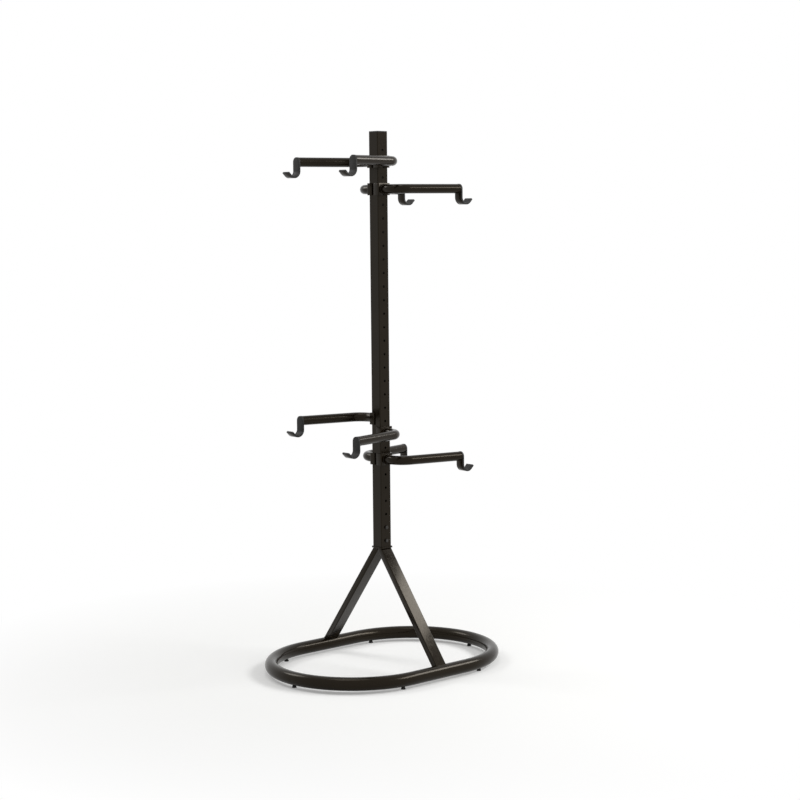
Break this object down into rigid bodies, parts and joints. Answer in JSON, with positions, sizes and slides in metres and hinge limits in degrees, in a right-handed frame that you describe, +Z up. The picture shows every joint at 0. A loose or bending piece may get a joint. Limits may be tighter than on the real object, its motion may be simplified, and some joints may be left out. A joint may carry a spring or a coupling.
{
  "type": "two tier bike rack",
  "caption": "Free-standing two tier bike rack: a tall square mast on leaning legs over a rounded floor ring, with bent arms ending in lined J hooks that lift to other heights.",
  "frame": {"origin": "on the floor under the mast's axis, at the middle of the floor ring", "axes": "+Z up along the mast; +X towards the right-hand leg, in the legs' plane and along the hung frames; +Y towards the rear pair of arms"},
  "size_m": [0.7108, 0.9848, 2.08],
  "materials": {
    "black_coat": "satin black powder coat",
    "hook_lining": "matt black",
    "rubber_foot": "matt black",
    "cap_plastic": "matt black",
    "zinc": "dark zinc plate"
  },
  "bodies": {
    "stand": {"ring_rear_half": "black_coat", "ring_front_half": "black_coat", "ring_sleeves": "black_coat", "leg_left": "black_coat", "leg_right": "black_coat", "apex_plate": "black_coat", "mast_spigot": "black_coat", "mast": "black_coat", "mast_top_cap": "cap_plastic", "mast_bolts": "zinc", "mast_nuts": "zinc", "stud_inserts": "zinc", "hook_studs": "zinc", "foot_screws": "zinc", "foot_1": "rubber_foot", "foot_2": "rubber_foot", "foot_3": "rubber_foot", "foot_4": "rubber_foot", "foot_5": "rubber_foot", "foot_6": "rubber_foot"},
    "arm_lower_front_left": {"saddle_lower_front_left": "black_coat", "arm_tube_lower_front_left": "black_coat", "hook_strap_lower_front_left": "black_coat", "hook_pad_lower_front_left": "hook_lining"},
    "arm_lower_front_right": {"saddle_lower_front_right": "black_coat", "arm_tube_lower_front_right": "black_coat", "hook_strap_lower_front_right": "black_coat", "hook_pad_lower_front_right": "hook_lining"},
    "arm_lower_rear_right": {"saddle_lower_rear_right": "black_coat", "arm_tube_lower_rear_right": "black_coat", "hook_strap_lower_rear_right": "black_coat", "hook_pad_lower_rear_right": "hook_lining"},
    "arm_lower_rear_left": {"saddle_lower_rear_left": "black_coat", "arm_tube_lower_rear_left": "black_coat", "hook_strap_lower_rear_left": "black_coat", "hook_pad_lower_rear_left": "hook_lining"},
    "arm_upper_front_left": {"saddle_upper_front_left": "black_coat", "arm_tube_upper_front_left": "black_coat", "hook_strap_upper_front_left": "black_coat", "hook_pad_upper_front_left": "hook_lining"},
    "arm_upper_front_right": {"saddle_upper_front_right": "black_coat", "arm_tube_upper_front_right": "black_coat", "hook_strap_upper_front_right": "black_coat", "hook_pad_upper_front_right": "hook_lining"},
    "arm_upper_rear_right": {"saddle_upper_rear_right": "black_coat", "arm_tube_upper_rear_right": "black_coat", "hook_strap_upper_rear_right": "black_coat", "hook_pad_upper_rear_right": "hook_lining"},
    "arm_upper_rear_left": {"saddle_upper_rear_left": "black_coat", "arm_tube_upper_rear_left": "black_coat", "hook_strap_upper_rear_left": "black_coat", "hook_pad_upper_rear_left": "hook_lining"}
  },
  "joints": [
    {"name": "lift_lower_front_left", "type": "slide", "parent": "stand", "child": "arm_lower_front_left", "axis": [0, 0, 1], "range_m": [0, 0.832]},
    {"name": "lift_lower_front_right", "type": "slide", "parent": "stand", "child": "arm_lower_front_right", "axis": [0, 0, 1], "range_m": [0, 0.884]},
    {"name": "lift_lower_rear_right", "type": "slide", "parent": "stand", "child": "arm_lower_rear_right", "axis": [0, 0, 1], "range_m": [0, 0.052]},
    {"name": "lift_lower_rear_left", "type": "slide", "parent": "stand", "child": "arm_lower_rear_left", "axis": [0, 0, 1], "range_m": [0, 0.104]},
    {"name": "lift_upper_front_left", "type": "slide", "parent": "stand", "child": "arm_upper_front_left", "axis": [0, 0, 1], "range_m": [0, 0.052]},
    {"name": "lift_upper_front_right", "type": "slide", "parent": "stand", "child": "arm_upper_front_right", "axis": [0, 0, 1], "range_m": [0, 0.052]},
    {"name": "lift_upper_rear_right", "type": "slide", "parent": "stand", "child": "arm_upper_rear_right", "axis": [0, 0, 1], "range_m": [0, 0.052]},
    {"name": "lift_upper_rear_left", "type": "slide", "parent": "stand", "child": "arm_upper_rear_left", "axis": [0, 0, 1], "range_m": [0, 0.052]}
  ]
}
